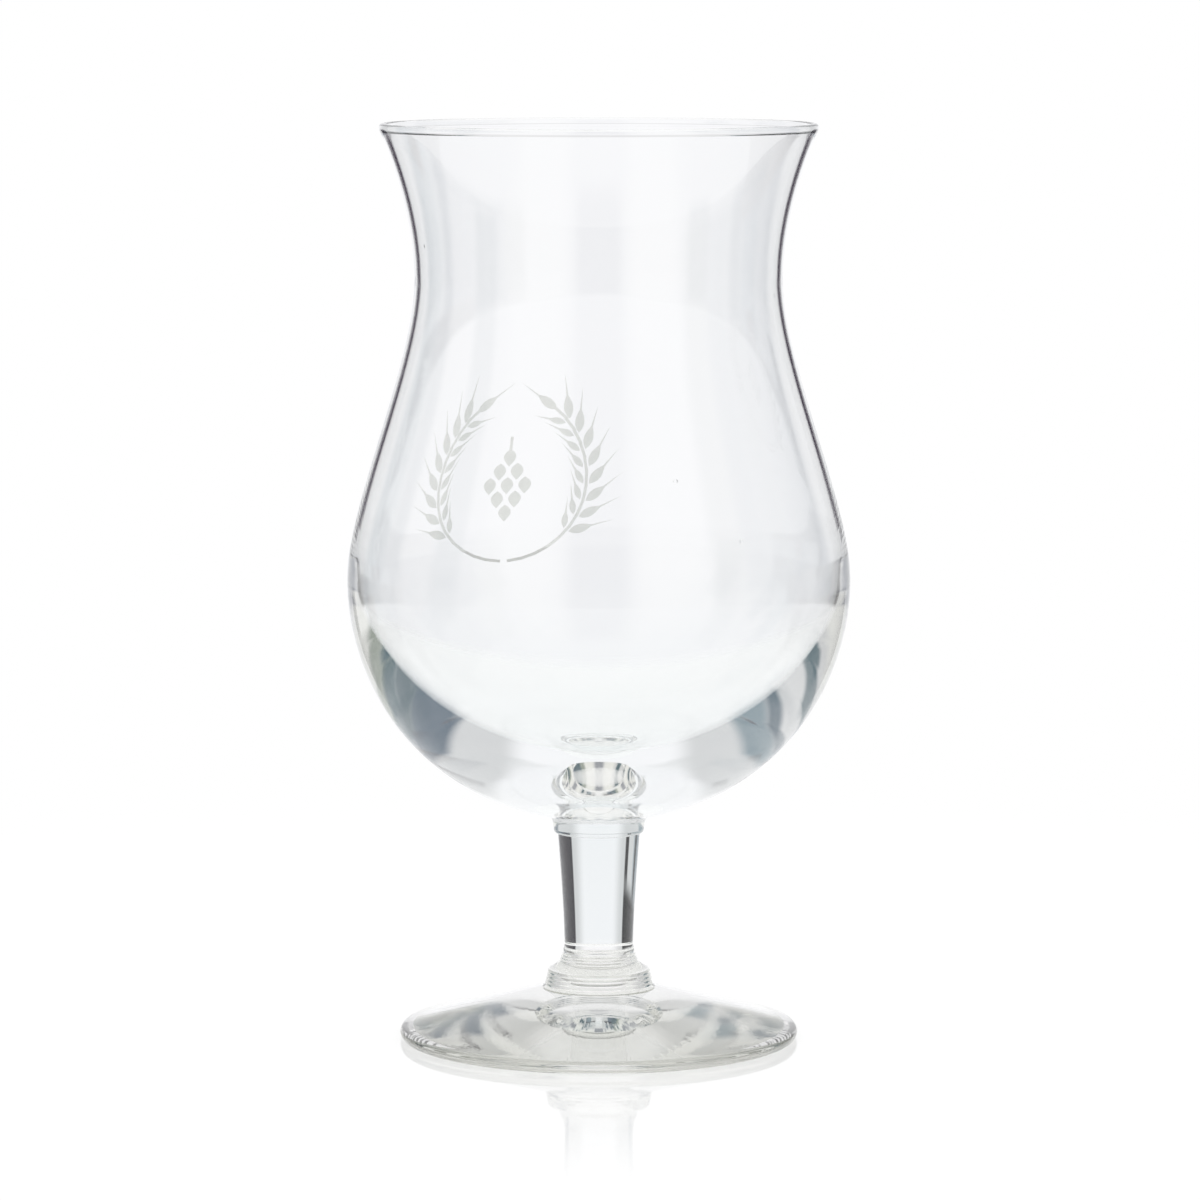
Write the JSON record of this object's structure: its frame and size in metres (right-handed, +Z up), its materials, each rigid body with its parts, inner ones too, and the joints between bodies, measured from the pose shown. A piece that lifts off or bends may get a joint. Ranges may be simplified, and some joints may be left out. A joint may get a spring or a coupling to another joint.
{
  "type": "tulip beer glass",
  "caption": "Stemmed tulip beer glass: a thin blown bowl with a flared lip on a short tapered stem and a pressed disc foot, with a pale enamel ornament on the back.",
  "frame": {"origin": "centre of the foot's resting ring, on the surface that the glass stands on", "axes": "+Z up along the axis of the glass; +Y towards the back, the side with the ornament, which is turned a little towards -X; +X to the right as the picture sees it"},
  "size_m": [0.0854, 0.0854, 0.156],
  "materials": {
    "clear_glass": "fire-polished soda-lime glass, very slightly grey-green where it is thick",
    "pale_enamel": "thin fired-on glass enamel, light grey-white, half gloss"
  },
  "bodies": {
    "root": {"bowl": "clear_glass", "bowl_collar": "clear_glass", "stem": "clear_glass", "foot": "clear_glass", "left_barley_ear": "pale_enamel", "right_barley_ear": "pale_enamel", "hop_cone": "pale_enamel"}
  },
  "joints": []
}
